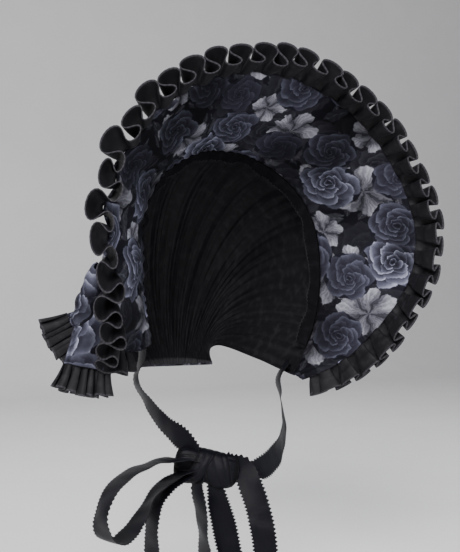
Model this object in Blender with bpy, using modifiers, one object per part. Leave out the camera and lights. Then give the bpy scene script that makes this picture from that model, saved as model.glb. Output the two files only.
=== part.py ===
"""A frilled bonnet headdress, held in its worn form.

A printed cloth brim stands round the face, with a black fluted frill on its edge. A soft gathered
crown covers the back of the head, and satin ribbons tie under the jaw. A cloth bow with pleated
trims sits on the outside of the brim, at the wearer's right.

The wearer faces -Y, +Z is up, and the wearer's right is -X. The tables and sizes are in
millimetres, measured from a point in the middle of the head. The finished object is moved so that
its origin is the place inside the crown where the top of the head bears.
"""

from math import cos, pi, radians, sin

import bmesh
import bpy
import numpy as np

MM = 0.001

# The top of the head under the crown, from the middle of the head.
HEAD_SEAT = (0.0, 8.0, 121.0)

# Walls of cloth, and the gap that neighbouring pieces keep.
BRIM_WALL = 2.0
CROWN_WALL = 1.4
FRILL_WALL = 1.0
RIBBON_WALL = 1.0
BOW_WALL = 1.2
ALLOWANCE_WALL = 1.0
SEAT_GAP = 0.4

# The brim. Its ripples fade from the corners to the top of the arch.
BRIM_COLUMNS = 72
BRIM_ROWS = 5
BRIM_WIDTH = 75.0
BRIM_BELLY = 2.5
BRIM_RIPPLE = 3.2
BRIM_RIPPLES = 13
BRIM_RIPPLE_LAG = 2.0
BRIM_TOP_RIPPLE = 0.35
ARCH_SWAY = 4.5
RIGHT_SPREAD = 1.035

# The fluted frill on the brim's edge.
FRILL_STOPS = (0.02, 0.99)
FRILL_FLUTES = 37
FLUTE_STEPS = 9
FRILL_SEAT = 0.6
FRILL_REACHES = (0.0, 0.45, 1.0)
FLUTE_DEPTH = 6.9
FLUTE_OVERHANG = 3.6
FLUTE_SEAM_DEPTH = 2.4
FLUTE_SEAM_OVERHANG = 1.2

# The raw seam allowance, turned in against the head.
ALLOWANCE_COLUMNS = 54
ALLOWANCE_STOPS = (0.06, 0.94)
ALLOWANCE_WIDTH = 8.5
ALLOWANCE_LEAN = radians(52)
ALLOWANCE_INSET = 0.9
ALLOWANCE_SETBACK = 0.6
ALLOWANCE_AIM = 30.0

# The crown: gathers run from the brim seam, over the head, to a short drawn hem at the nape.
CROWN_COLUMNS = 66
CROWN_ROWS = 8
CROWN_CROWDING = 1.1
CROWN_GATHERS = 11
GATHER_DEPTH = 1.8
GATHER_CENTRE = (0.0, 20.0, 20.0)
CROWN_LAP = 1.5
CROWN_SWELL = 1.08
CROWN_OVER = (0.0, 70.0, 10.0)
CROWN_BACK_Y = 108.0
CROWN_BACK_NARROWING = 0.80
CROWN_BACK_FALL = 0.42
CROWN_BACK_LIFT = 6.0
NAPE_HALF_WIDTH = 38.0
NAPE_Y = 66.0
NAPE_Z = -42.0

# The ribbons and the side bow.
KNOT_CENTRE = (-32.0, -48.0, -103.0)
KNOT_SIZE = (44.0, 15.0, 22.0)
KNOT_TURN = (0.0, radians(10), radians(-30))
BOW_KNOT_CENTRE = (-102.5, -56.7, 18.0)
BOW_KNOT_SIZE = (15.0, 13.0, 20.0)
BOW_KNOT_TURN = (0.0, 0.0, radians(40))
LOOP_STEPS = 18
LOOP_MOUTH = radians(22)
LOOP_BLUNTNESS = 0.75
LOOP_PINCH = 0.45
TRIM_PLEATS = 6
TRIM_STEPS = 6
TRIM_DEPTH = 1.9
TRIM_TOP_DEPTH = 1.0
TRIM_SPREAD = 1.05
TRIM_FLARE = 0.15
TAIL_STEPS = 8

BLACK_CLOTH = (0.012, 0.011, 0.013)
PRINT_CLOTH = (0.060, 0.062, 0.080)
LINING_CLOTH = (0.014, 0.013, 0.015)
BLACK_SATIN = (0.010, 0.010, 0.014)

# Sections of the brim. Each row is a line across the cloth: seam_x, seam_y and seam_z where it
# meets the crown, then edge_x, edge_y and edge_z where it carries the frill.
# From the top of the arch down to the widest place, the same on both sides.
UPPER_SECTIONS = (
    (0, -22, 119, 0, -93, 155),
    (19, -23, 117, 36, -93, 149),
    (39, -26, 108, 67, -93, 134),
    (57, -29, 94, 93, -93, 110),
    (69, -32, 75, 110, -93, 84),
    (74, -35, 54, 118, -92, 56),
)

# From the widest place down to each corner. The wearer's right corner sits higher than the left.
LEFT_SECTIONS = (
    (75, -36, 30, 116, -89, 28),
    (74, -35, 8, 106, -79, 2),
    (71, -32, -12, 95, -63, -20),
    (66, -28, -28, 86, -46, -36),
    (62, -25, -39, 75, -34, -45),
    (59, -22, -46, 64, -26, -50),
)
RIGHT_SECTIONS = (
    (74, -36, 33, 114, -88, 28),
    (73, -34, 16, 107, -77, 6),
    (70, -32, 3, 99, -62, -10),
    (67, -29, -7, 91, -46, -21),
    (64, -26, -14, 79, -33, -25),
    (62, -23, -20, 67, -25, -24),
)

# The frill: the share of the brim's edge from the wearer's right corner, the length of the frill
# there, and the angle in degrees by which it turns in towards the face.
FRILL_ROWS = (
    (0.00, 11, 15),
    (0.07, 19, 15),
    (0.16, 20, 16),
    (0.30, 20, 2),
    (0.50, 20, 4),
    (0.62, 20, 10),
    (0.70, 20, 22),
    (0.78, 20, 32),
    (0.92, 19, 32),
    (1.00, 12, 26),
)

# Ribbons: x, y and z of the middle line, the width, and the compass heading of that width in
# degrees, where 0 is towards the wearer's left and 90 is towards the back.
STRAP_RIGHT = (
    (-62.9, -12.9, -13.7, 13, 90),
    (-60, -7, -30, 15, 88),
    (-64, -4, -46, 16, 88),
    (-60, -12, -63, 16, 96),
    (-54, -22, -78, 16, 108),
    (-46.1, -36.7, -88.8, 15, 120),
)
STRAP_LEFT = (
    (60.6, -13.6, -36.2, 13, 74),
    (54, -9, -50, 15, 66),
    (56, -9, -64, 16, 60),
    (51, -21, -86, 16, 46),
    (36, -34, -101, 16, 30),
    (15, -44, -109, 15, 12),
    (-9.5, -49.6, -109.8, 13, -5),
)
TIE_LOOP_RIGHT = (
    (-48, -49.8, -96.1, 11, 100),
    (-72, -61, -93, 13, 88),
    (-88, -67, -94, 15, 82),
    (-103, -73, -98, 16, 84),
    (-115, -79, -106, 16, 92),
    (-120, -81, -118, 16, 100),
    (-116, -79, -130, 16, 104),
    (-108, -76, -134, 16, 104),
    (-98, -71, -131, 16, 100),
    (-89, -67, -124, 15, 90),
    (-80, -62, -115, 13, 88),
    (-50.8, -49.2, -104.5, 10, 100),
)
TIE_TAIL_RIGHT = (
    (-49.7, -48.6, -108.6, 10, 128),
    (-65, -52, -113, 13, 118),
    (-73, -53, -121, 16, 104),
    (-75, -54, -135, 16, 98),
    (-74, -53, -153, 16, 100),
    (-72, -52, -180, 16, 102),
)
TIE_TAIL_LEFT = (
    (-38.4, -46.7, -114.8, 11, 100),
    (-38, -51, -128, 15, 92),
    (-37, -52, -142, 16, 88),
    (-35, -52, -159, 16, 90),
    (-32, -50, -182, 16, 92),
)
TIE_LOOP_LEFT = (
    (-8.7, -61.7, -105.4, 11, -38),
    (-5, -69, -118, 15, -40),
    (-2, -75, -134, 16, -42),
    (1, -77, -153, 16, -44),
    (2, -76, -173, 16, -42),
    (-1, -69, -188, 16, -38),
    (-7, -58, -192, 16, -34),
    (-12, -50, -182, 16, -32),
    (-16, -47, -162, 16, -30),
    (-21, -48, -142, 16, -28),
    (-25, -50, -127, 14, -28),
    (-27, -51.9, -116.2, 11, -30),
)

# Loops of the side bow: where each starts, the way it points, the way that the width of its cloth
# runs, its length, its thickness and its width.
BOW_LOOPS = {
    "side_bow_loop_front": ((-110.9, -56.2, 18), (-22, -28, -10), (-0.33, 0.19, -0.92), 34, 13, 36),
    "side_bow_loop_back": ((-99.4, -43.2, 14.4), (-13, 24, -42), (0.50, 0.86, 0.00), 46, 20, 16),
}

# Tails of the side bow, in the same columns as the ribbons, and the length of each one's trim.
BOW_TAIL_FRONT = (
    (-105.2, -51.0, 9.0, 11, -30),
    (-108, -47.5, -4, 18, -24),
    (-111, -43, -18, 25, -18),
    (-114, -42, -34, 29, -17),
)
BOW_TAIL_BACK = (
    (-93.5, -50.0, 8, 7, -30),
    (-88.5, -31, 1, 13, -30),
    (-98, -15, -5, 21, -30),
    (-109, -6, -12, 25, -30),
)
TRIM_LENGTH_FRONT = 17.0
TRIM_LENGTH_BACK = 21.0


def clear_scene():
    """Remove every object and collection that the file starts with."""
    for item in list(bpy.data.objects):
        bpy.data.objects.remove(item, do_unlink=True)
    for group in list(bpy.data.collections):
        bpy.data.collections.remove(group)


def material(name, colour, roughness):
    """A Principled material in one colour."""
    made = bpy.data.materials.new(name)
    made.use_nodes = True
    shader = made.node_tree.nodes["Principled BSDF"]
    shader.inputs["Base Color"].default_value = (*colour, 1.0)
    shader.inputs["Roughness"].default_value = roughness
    shader.inputs["Metallic"].default_value = 0.0
    made.diffuse_color = (*colour, 1.0)
    return made


def unit(vectors):
    """Each vector at length one."""
    return vectors / np.linalg.norm(vectors, axis=-1, keepdims=True)


def along(points):
    """The distance from the first point to each point, as a share of the whole line."""
    steps = np.linalg.norm(np.diff(points, axis=0), axis=1)
    run = np.concatenate([[0.0], np.cumsum(steps)])
    return run / run[-1]


def through(rows, shares):
    """A smooth line through the rows, read at shares of its length.

    Between two rows it is a cubic whose slope at each row is that of its two neighbours.
    """
    rows = np.asarray(rows, float)
    marks = along(rows[:, :3])
    slopes = np.gradient(rows, marks, axis=0)
    right = np.clip(np.searchsorted(marks, shares), 1, len(marks) - 1)
    left = right - 1
    span = (marks[right] - marks[left])[:, None]
    part = (np.asarray(shares) - marks[left])[:, None] / span
    start_value = (1 + 2 * part) * (1 - part) ** 2
    start_slope = part * (1 - part) ** 2
    end_value = part**2 * (3 - 2 * part)
    end_slope = part**2 * (part - 1)
    values = start_value * rows[left] + end_value * rows[right]
    return values + span * (start_slope * slopes[left] + end_slope * slopes[right])


def turned(vectors, axes, angles):
    """Vectors turned about their axes by their angles."""
    angles = np.asarray(angles, float)[..., None]
    across = np.cross(axes, vectors)
    kept = axes * np.sum(axes * vectors, axis=-1, keepdims=True)
    return vectors * np.cos(angles) + across * np.sin(angles) + kept * (1 - np.cos(angles))


def sheet(name, grid, wall, surface):
    """One closed wall of cloth about a grid of points, given in millimetres."""
    grid = (np.asarray(grid) - np.asarray(HEAD_SEAT)) * MM
    rows, columns = grid.shape[:2]
    index = np.arange(rows * columns).reshape(rows, columns)
    corners = (index[:-1, :-1], index[:-1, 1:], index[1:, 1:], index[1:, :-1])
    faces = np.stack(corners, axis=-1).reshape(-1, 4)
    mesh = bpy.data.meshes.new(name)
    mesh.from_pydata(grid.reshape(-1, 3).tolist(), [], faces.tolist())
    mesh.materials.append(surface)
    mesh.shade_smooth()
    mesh.set_sharp_from_angle(angle=radians(50))
    piece = bpy.data.objects.new(name, mesh)
    thickness = piece.modifiers.new("wall", "SOLIDIFY")
    thickness.thickness = wall * MM
    thickness.offset = 0.0
    thickness.use_rim = True
    return piece


def arch():
    """The brim's sections as one table, from the wearer's right corner to the left corner."""
    mirror = np.array([-1, 1, 1, -1, 1, 1])
    upper = np.array(UPPER_SECTIONS, float)
    right = np.concatenate([upper, RIGHT_SECTIONS]) * mirror
    right[:, 3] *= RIGHT_SPREAD
    left = np.concatenate([upper[1:], LEFT_SECTIONS])
    table = np.concatenate([right[::-1], left])
    middle, top = UPPER_SECTIONS[-1][5], UPPER_SECTIONS[0][5]
    table[:, 3] -= ARCH_SWAY * np.clip((table[:, 5] - middle) / (top - middle), 0, 1)
    return table


def arch_lines(shares):
    """The seam line and the edge line of the brim, at shares of the edge's length."""
    table = arch()
    by_edge = np.concatenate([table[:, 3:], table[:, :3]], axis=1)
    read = through(by_edge, shares)
    return read[:, 3:], read[:, :3]


def edge_frame(shares):
    """At the brim's edge: the way along it, the way out across the cloth, and the face side."""
    step = 1e-3
    seam, edge = arch_lines(shares)
    ahead = arch_lines(np.clip(shares + step, 0, 1))[1]
    behind = arch_lines(np.clip(shares - step, 0, 1))[1]
    tangent = unit(ahead - behind)
    out = edge - seam
    out = unit(out - tangent * np.sum(out * tangent, axis=1, keepdims=True))
    return tangent, out, np.cross(tangent, out)


def brim(surface):
    """The stiffened brim: straight across from seam to edge, with a slight belly and soft ripples."""
    shares = np.linspace(0, 1, BRIM_COLUMNS + 1)
    seam, edge = arch_lines(shares)
    inner = edge_frame(shares)[2]
    width = np.linalg.norm(edge - seam, axis=1) / BRIM_WIDTH
    fade = BRIM_TOP_RIPPLE + (1 - BRIM_TOP_RIPPLE) * np.abs(2 * shares - 1)
    grid = []
    for across in np.linspace(0, 1, BRIM_ROWS + 1):
        wave = np.sin(2 * pi * BRIM_RIPPLES * shares + BRIM_RIPPLE_LAG * across)
        lift = (BRIM_BELLY + BRIM_RIPPLE * wave * fade) * np.sin(pi * across) * width
        grid.append(seam + (edge - seam) * across + inner * lift[:, None])
    return sheet("brim", grid, BRIM_WALL, surface)


def edge_frill(surface):
    """The frill: one strip of cloth folded into round flutes that open towards the free edge.

    Along the strip each flute is a sine wave in depth, and a second sine of twice the rate carries
    the cloth back under itself, so that a fold overhangs its neighbour.
    """
    count = np.linspace(0, 1, FRILL_FLUTES * FLUTE_STEPS + 1)
    shares = FRILL_STOPS[0] + (FRILL_STOPS[1] - FRILL_STOPS[0]) * count
    marks, lengths, tucks = np.transpose(FRILL_ROWS)
    length = np.interp(shares, marks, lengths)
    tuck = np.radians(np.interp(shares, marks, tucks))
    tangent, out, _ = edge_frame(shares)
    base = arch_lines(shares)[1] + out * FRILL_SEAT
    phase = 2 * pi * FRILL_FLUTES * count
    grid = []
    for reach in FRILL_REACHES:
        depth = FLUTE_SEAM_DEPTH + (FLUTE_DEPTH - FLUTE_SEAM_DEPTH) * reach
        overhang = FLUTE_SEAM_OVERHANG + (FLUTE_OVERHANG - FLUTE_SEAM_OVERHANG) * reach
        aim = turned(out, tangent, tuck * min(2 * reach, 1))
        fold = np.cross(tangent, aim) * (depth * np.sin(phase))[:, None]
        lap = tangent * (overhang * np.sin(2 * phase))[:, None]
        grid.append(base + aim * (length * reach)[:, None] + fold - lap)
    return sheet("edge_frill", grid, FRILL_WALL, surface)


def crown(surface):
    """The crown: each line of cloth is a cubic Bezier curve from the brim seam to the nape hem.

    Its front edge laps over the outer face of the brim.
    """
    shares = np.linspace(0, 1, CROWN_COLUMNS + 1)
    seam = arch_lines(shares)[0]
    _, out, inner = edge_frame(shares)
    start = seam + out * CROWN_LAP - inner * ((BRIM_WALL + CROWN_WALL) / 2 + SEAT_GAP)
    flat = np.zeros(len(shares))
    nape_x = NAPE_HALF_WIDTH * (2 * shares - 1)
    nape = np.stack([nape_x, NAPE_Y + flat, NAPE_Z + flat], axis=1)
    over = seam * (CROWN_SWELL, 1.0, 1.0) + CROWN_OVER
    behind_x = CROWN_BACK_NARROWING * seam[:, 0]
    behind_z = CROWN_BACK_FALL * seam[:, 2] + CROWN_BACK_LIFT
    behind = np.stack([behind_x, CROWN_BACK_Y + flat, behind_z], axis=1)
    gathers = np.cos(2 * pi * CROWN_GATHERS * shares) * np.sin(pi * shares)
    grid = []
    for back in np.linspace(0, 1, CROWN_ROWS + 1) ** CROWN_CROWDING:
        line = (1 - back) ** 3 * start + 3 * back * (1 - back) ** 2 * over
        line = line + 3 * back**2 * (1 - back) * behind + back**3 * nape
        outward = unit(line - np.array(GATHER_CENTRE))
        grid.append(line + outward * (GATHER_DEPTH * np.sin(pi * back) * gathers)[:, None])
    return sheet("crown", grid, CROWN_WALL, surface)


def seam_allowance(surface):
    """The raw seam allowance, turned in against the head all round the arch."""
    shares = np.linspace(*ALLOWANCE_STOPS, ALLOWANCE_COLUMNS)
    seam = arch_lines(shares)[0]
    inward = np.array([0.0, 0.0, ALLOWANCE_AIM]) - seam
    inward[:, 1] = 0.0
    inward = unit(inward)
    backward = np.array([0.0, 1.0, 0.0])
    lean = inward * cos(ALLOWANCE_LEAN) + backward * sin(ALLOWANCE_LEAN)
    start = seam + inward * ALLOWANCE_INSET + backward * ALLOWANCE_SETBACK
    grid = [start + lean * ALLOWANCE_WIDTH * part for part in (0.0, 0.5, 1.0)]
    return sheet("seam_allowance", grid, ALLOWANCE_WALL, surface)


def ribbon_grid(rows, steps):
    """The two edges of a ribbon as a grid of points, and the way that its face looks."""
    read = through(rows, np.linspace(0, 1, steps + 1))
    line, width, heading = read[:, :3], read[:, 3:4], np.radians(read[:, 4])
    tangent = unit(np.gradient(line, axis=0))
    level = np.stack([np.cos(heading), np.sin(heading), np.zeros(len(heading))], axis=1)
    across = unit(level - tangent * np.sum(tangent * level, axis=1, keepdims=True))
    grid = np.stack([line - across * width / 2, line + across * width / 2])
    return grid, np.cross(across, tangent)


def ribbon(name, rows, steps, wall, surface):
    """A flat ribbon along the rows of a table."""
    return sheet(name, ribbon_grid(rows, steps)[0], wall, surface)


def soft_block(name, centre, size, turn, surface):
    """A soft knot: a block of the given size whose corners are rounded by subdivision."""
    bpy.ops.mesh.primitive_cube_add(size=1.0)
    knot = bpy.context.object
    knot.name = name
    knot.data.name = name
    shape = bmesh.new()
    shape.from_mesh(knot.data)
    bmesh.ops.subdivide_edges(shape, edges=shape.edges, cuts=1, use_grid_fill=True)
    for vertex in shape.verts:
        vertex.co = [vertex.co[axis] * size[axis] * MM for axis in range(3)]
    shape.to_mesh(knot.data)
    shape.free()
    knot.location = [(centre[axis] - HEAD_SEAT[axis]) * MM for axis in range(3)]
    knot.rotation_euler = turn
    soft = knot.modifiers.new("soft", "SUBSURF")
    soft.levels = 1
    soft.render_levels = 1
    knot.data.materials.append(surface)
    knot.data.shade_smooth()
    return knot


def bow_loop(name, row, surface):
    """A loop of cloth that leaves the bow's knot, rounds its end and comes back."""
    start, way, across, length, thickness, width = (np.array(value, float) for value in row)
    way = unit(way)
    side = unit(np.cross(way, across))
    across = np.cross(side, way)
    turn = np.linspace(LOOP_MOUTH, 2 * pi - LOOP_MOUTH, LOOP_STEPS + 1)
    reach = (0.5 - 0.5 * np.cos(turn)) ** LOOP_BLUNTNESS
    fullness = (1 + reach) / 2
    line = start + way * (length * reach)[:, None]
    line = line + side * (thickness / 2 * np.sin(turn) * fullness)[:, None]
    widths = width * np.interp(reach, (0.0, 0.6), (LOOP_PINCH, 1.0))
    grid = [line + across * (widths * part)[:, None] for part in (-0.5, 0.0, 0.5)]
    return sheet(name, grid, BOW_WALL, surface)


def pleated_trim(name, rows, length, surface):
    """A strip of small pleats along the lower end of a bow tail."""
    grid, face = ribbon_grid(rows, TAIL_STEPS)
    ends = grid[:, -1]
    down = unit(np.mean(grid[:, -1] - grid[:, -2], axis=0))
    shares = np.linspace(0, 1, TRIM_PLEATS * TRIM_STEPS + 1)
    top = ends[0] + (ends[1] - ends[0]) * shares[:, None]
    middle = np.mean(ends, axis=0)
    wave = np.sin(2 * pi * TRIM_PLEATS * shares)[:, None] * face[-1]
    made = []
    for reach in (0.0, 0.5, 1.0):
        spread = middle + (top - middle) * (TRIM_SPREAD + TRIM_FLARE * reach)
        depth = TRIM_TOP_DEPTH + (TRIM_DEPTH - TRIM_TOP_DEPTH) * reach
        made.append(spread + down * (SEAT_GAP + length * reach) + wave * depth)
    return sheet(name, made, FRILL_WALL, surface)


def build():
    clear_scene()
    black = material("black_frill_cloth", BLACK_CLOTH, 0.9)
    printed = material("rose_print_cloth", PRINT_CLOTH, 0.85)
    lining = material("black_lining_cloth", LINING_CLOTH, 0.9)
    satin = material("black_satin_ribbon", BLACK_SATIN, 0.4)
    pieces = [
        crown(printed),
        brim(printed),
        seam_allowance(lining),
        edge_frill(black),
        ribbon("strap_right", STRAP_RIGHT, 16, RIBBON_WALL, satin),
        ribbon("strap_left", STRAP_LEFT, 22, RIBBON_WALL, satin),
        ribbon("tie_loop_right", TIE_LOOP_RIGHT, 30, RIBBON_WALL, satin),
        ribbon("tie_loop_left", TIE_LOOP_LEFT, 30, RIBBON_WALL, satin),
        ribbon("tie_tail_right", TIE_TAIL_RIGHT, 14, RIBBON_WALL, satin),
        ribbon("tie_tail_left", TIE_TAIL_LEFT, 12, RIBBON_WALL, satin),
        soft_block("tie_knot", KNOT_CENTRE, KNOT_SIZE, KNOT_TURN, satin),
        soft_block("side_bow_knot", BOW_KNOT_CENTRE, BOW_KNOT_SIZE, BOW_KNOT_TURN, printed),
        ribbon("side_bow_tail_front", BOW_TAIL_FRONT, TAIL_STEPS, BOW_WALL, printed),
        ribbon("side_bow_tail_back", BOW_TAIL_BACK, TAIL_STEPS, BOW_WALL, printed),
        pleated_trim("side_bow_trim_front", BOW_TAIL_FRONT, TRIM_LENGTH_FRONT, black),
        pleated_trim("side_bow_trim_back", BOW_TAIL_BACK, TRIM_LENGTH_BACK, black),
    ]
    pieces += [bow_loop(name, row, printed) for name, row in BOW_LOOPS.items()]
    bonnet = bpy.data.collections.new("frilled_bonnet_headdress")
    bpy.context.scene.collection.children.link(bonnet)
    for piece in pieces:
        for group in list(piece.users_collection):
            group.objects.unlink(piece)
        bonnet.objects.link(piece)


build()
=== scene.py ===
# %% [markdown]
# # A frilled bonnet headdress, dressed for its portrait
#
# The solid model already holds the sizes: a wide brim round the face, a fluted frill on the brim's
# edge, a gathered crown, satin ties with a knot, and a cloth bow at the wearer's right.
# This lesson gives each of those pieces its real cloth. Every surface is a function of two numbers,
# one along the piece and one across it, worked out with numpy and put into a mesh.

from math import cos, pi, radians, sin

import bpy
import numpy as np
from mathutils import Euler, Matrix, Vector


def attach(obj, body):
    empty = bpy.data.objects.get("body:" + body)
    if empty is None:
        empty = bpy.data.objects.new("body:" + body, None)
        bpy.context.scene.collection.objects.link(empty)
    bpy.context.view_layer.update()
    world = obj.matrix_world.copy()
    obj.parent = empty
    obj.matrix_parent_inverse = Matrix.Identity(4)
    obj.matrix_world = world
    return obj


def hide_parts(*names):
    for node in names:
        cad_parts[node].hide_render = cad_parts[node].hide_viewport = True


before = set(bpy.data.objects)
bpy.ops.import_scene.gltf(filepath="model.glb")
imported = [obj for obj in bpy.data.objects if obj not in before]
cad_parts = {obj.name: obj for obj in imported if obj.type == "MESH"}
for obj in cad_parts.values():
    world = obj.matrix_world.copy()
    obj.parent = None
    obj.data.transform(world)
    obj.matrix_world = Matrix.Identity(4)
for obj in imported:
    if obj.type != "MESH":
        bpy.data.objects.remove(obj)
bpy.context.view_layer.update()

# %% [markdown]
# ## Where things are
#
# The tables are in millimetres from the middle of the head, as in the part's own source. The origin
# of the finished object is the place where the top of the head bears, so that point is taken away
# from every position before it goes into a mesh. The wearer faces -Y, and +Z is up.

# %% Sizes that the pieces share
MM = 0.001
HEAD_SEAT = np.array([0.0, 8.0, 121.0])

# One row is a line across the brim: where it meets the crown, then where it carries the frill.
UPPER_SECTIONS = (
    (0, -22, 119, 0, -93, 155),
    (19, -23, 117, 36, -93, 149),
    (39, -26, 108, 67, -93, 134),
    (57, -29, 94, 93, -93, 110),
    (69, -32, 75, 110, -93, 84),
    (74, -35, 54, 118, -92, 56),
)
LEFT_SECTIONS = (
    (75, -36, 30, 116, -89, 28),
    (74, -35, 8, 106, -79, 2),
    (71, -32, -12, 95, -63, -20),
    (66, -28, -28, 86, -46, -36),
    (62, -25, -39, 75, -34, -45),
    (59, -22, -46, 64, -26, -50),
)
RIGHT_SECTIONS = (
    (74, -36, 33, 114, -88, 28),
    (73, -34, 16, 107, -77, 6),
    (70, -32, 3, 99, -62, -10),
    (67, -29, -7, 91, -46, -21),
    (64, -26, -14, 79, -33, -25),
    (62, -23, -20, 67, -25, -24),
)
# The arch leans this many mm to the wearer's right, and its right side is this much wider.
ARCH_SWAY = 4.5
RIGHT_SPREAD = 1.035
SMALL_STEP = 1e-3
print("brim sections:", 2 * len(UPPER_SECTIONS) - 1 + len(LEFT_SECTIONS) + len(RIGHT_SECTIONS))

# %% [markdown]
# ## Curves through a table
#
# A table of a few rows becomes a smooth line: between two rows runs a cubic whose slope at each row
# is the slope between its neighbours. The same helper reads widths and angles, so that a ribbon
# widens and turns as smoothly as it bends.


# %% Reading smooth lines
def unit(vectors):
    """Each vector divided by its own length."""
    return vectors / np.linalg.norm(vectors, axis=-1, keepdims=True)


def steps_of(points, axis=0):
    """The distance from each point to the next, along one axis of a line or a grid."""
    return np.linalg.norm(np.diff(points, axis=axis), axis=-1)


def running(lengths):
    """The sum of the lengths up to each point, which starts at 0."""
    return np.concatenate([[0.0], np.cumsum(lengths)])


def along(points):
    """Distance from the first point to each point, as a share of the whole line."""
    run = running(steps_of(points))
    return run / run[-1]


def through(rows, shares):
    """Value at each share: cubic between two rows, each row's slope that of its neighbours."""
    rows = np.asarray(rows, float)
    marks = along(rows[:, :3])
    slopes = np.gradient(rows, marks, axis=0)
    right = np.clip(np.searchsorted(marks, shares), 1, len(marks) - 1)
    left = right - 1
    span = (marks[right] - marks[left])[:, None]
    part = (np.asarray(shares) - marks[left])[:, None] / span
    start_value = (1 + 2 * part) * (1 - part) ** 2
    start_slope = part * (1 - part) ** 2
    end_value = part**2 * (3 - 2 * part)
    end_slope = part**2 * (part - 1)
    values = start_value * rows[left] + end_value * rows[right]
    return values + span * (start_slope * slopes[left] + end_slope * slopes[right])


def turned(vectors, axes, angles):
    """Vectors turned about unit axes: v cos a + (axis x v) sin a + axis (axis . v)(1 - cos a)."""
    angles = np.asarray(angles, float)[..., None]
    kept = axes * np.sum(axes * vectors, axis=-1, keepdims=True)
    across = np.cross(axes, vectors)
    return vectors * np.cos(angles) + across * np.sin(angles) + kept * (1 - np.cos(angles))


print("halfway round a corner:", through([(0, 0, 0), (1, 0, 0), (1, 1, 0)], [0.5])[0].round(3))

# %% [markdown]
# ## The lines of the brim
#
# Everything else hangs on the brim, so its lines come first. One table holds its sections from the
# right corner over the top to the left. At any share of the edge it gives the seam, the edge and
# three ways: along the edge, out across the cloth, and towards the face. Real cloth is never quite
# even, so there are also two helpers for gentle waves.


# %% Lines of the brim
def arch():
    """The brim's sections in one table, from the wearer's right corner over the top to the left."""
    mirror = np.array([-1, 1, 1, -1, 1, 1])
    upper = np.array(UPPER_SECTIONS, float)
    right = np.concatenate([upper, RIGHT_SECTIONS]) * mirror
    right[:, 3] *= RIGHT_SPREAD
    table = np.concatenate([right[::-1], upper[1:], LEFT_SECTIONS])
    middle, top = UPPER_SECTIONS[-1][5], UPPER_SECTIONS[0][5]
    table[:, 3] -= ARCH_SWAY * np.clip((table[:, 5] - middle) / (top - middle), 0, 1)
    return table


def arch_lines(shares):
    """The seam line and the edge line of the brim, at shares of the edge's length."""
    table = arch()
    read = through(np.concatenate([table[:, 3:], table[:, :3]], axis=1), shares)
    return read[:, 3:], read[:, :3]


def edge_frame(shares):
    """At the edge: the way along it, the way out across the cloth, and the face side."""
    seam, edge = arch_lines(shares)
    ahead = arch_lines(np.clip(shares + SMALL_STEP, 0, 1))[1]
    behind = arch_lines(np.clip(shares - SMALL_STEP, 0, 1))[1]
    tangent = unit(ahead - behind)
    out = edge - seam
    out = unit(out - tangent * np.sum(out * tangent, axis=1, keepdims=True))
    return tangent, out, np.cross(tangent, out)


def drift(shares, seed, waves, size):
    """A gentle unevenness between -size and size: three sines whose phases come from the seed."""
    phases = np.random.default_rng(seed).uniform(0, 2 * pi, 3)
    rates = waves * np.array([1.0, 1.73, 2.61])
    weights = np.array([0.5, 0.3, 0.2])
    return size * np.sum(weights * np.sin(2 * pi * np.outer(shares, rates) + phases), axis=1)


def ripples(count, shares, phase=0.0):
    """A sine with that many crests over the whole length: sin(2 pi x count x share + phase)."""
    return np.sin(2 * pi * count * shares + phase)


edge_length = np.sum(steps_of(arch_lines(np.linspace(0, 1, 400))[1]))
print("brim edge in mm:", round(float(edge_length), 1))

# %% [markdown]
# ## From a grid of points to cloth
#
# A sheet of cloth is a grid: rows run across the piece and columns run along it. Its UV map holds
# real metres measured on the cloth, so that a print or a weave keeps its true scale on every piece.
# The wall comes from Solidify, which can give the reverse side a second material.


# %% Making a piece from a grid
WELD_REACH = 0.00002


def spread(u, v):
    """A map that has u along every row and v across every column."""
    return np.stack(np.broadcast_arrays(u[None, :], v[:, None]), axis=2)


def flat_map(grid):
    """Metres on the cloth: u is the mean run along the columns, v the mean run across the rows."""
    u = running(np.mean(steps_of(grid, 1), axis=0))
    v = running(np.mean(steps_of(grid, 0), axis=1))
    return spread(u, v) * MM


def share_map(grid):
    """A second map: shares from 0 to 1 along the columns and across the rows."""
    rows, columns = grid.shape[:2]
    return spread(np.linspace(0, 1, columns), np.linspace(0, 1, rows))


def cut_size(grid):
    """The width and the length that the cloth was cut to: mean runs over the grid, in metres."""
    length, width = flat_map(grid)[-1, -1]
    return float(width), float(length)


def cloth(name, grid, wall, materials, cloth_map=None, closed=False):
    """A mesh of quads through the grid's points, with its two maps, and a wall of that many mm."""
    cloth_map = flat_map(grid) if cloth_map is None else cloth_map
    rows, columns = grid.shape[:2]
    index = np.arange(rows * columns).reshape(rows, columns)
    corners = [index[:-1, :-1], index[:-1, 1:], index[1:, 1:], index[1:, :-1]]
    faces = np.stack(corners, axis=-1).reshape(-1, 4)
    mesh = bpy.data.meshes.new(name)
    mesh.from_pydata(((grid - HEAD_SEAT) * MM).reshape(-1, 3).tolist(), [], faces.tolist())
    for title, values in (("cloth", cloth_map), ("share", share_map(grid))):
        at_corners = values.reshape(-1, 2)[faces.ravel()].astype(np.float32)
        mesh.uv_layers.new(name=title).data.foreach_set("uv", at_corners.ravel())
    for item in materials:
        mesh.materials.append(item)
    mesh.shade_smooth()
    piece = bpy.data.objects.new(name, mesh)
    bpy.context.scene.collection.objects.link(piece)
    if closed:
        weld = piece.modifiers.new("join", "WELD")
        weld.merge_threshold = WELD_REACH
    if wall:
        thickness = piece.modifiers.new("wall", "SOLIDIFY")
        thickness.thickness = wall * MM
        thickness.offset = 0.0
        thickness.use_rim = True
        thickness.material_offset = len(materials) - 1
    return piece


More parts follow.
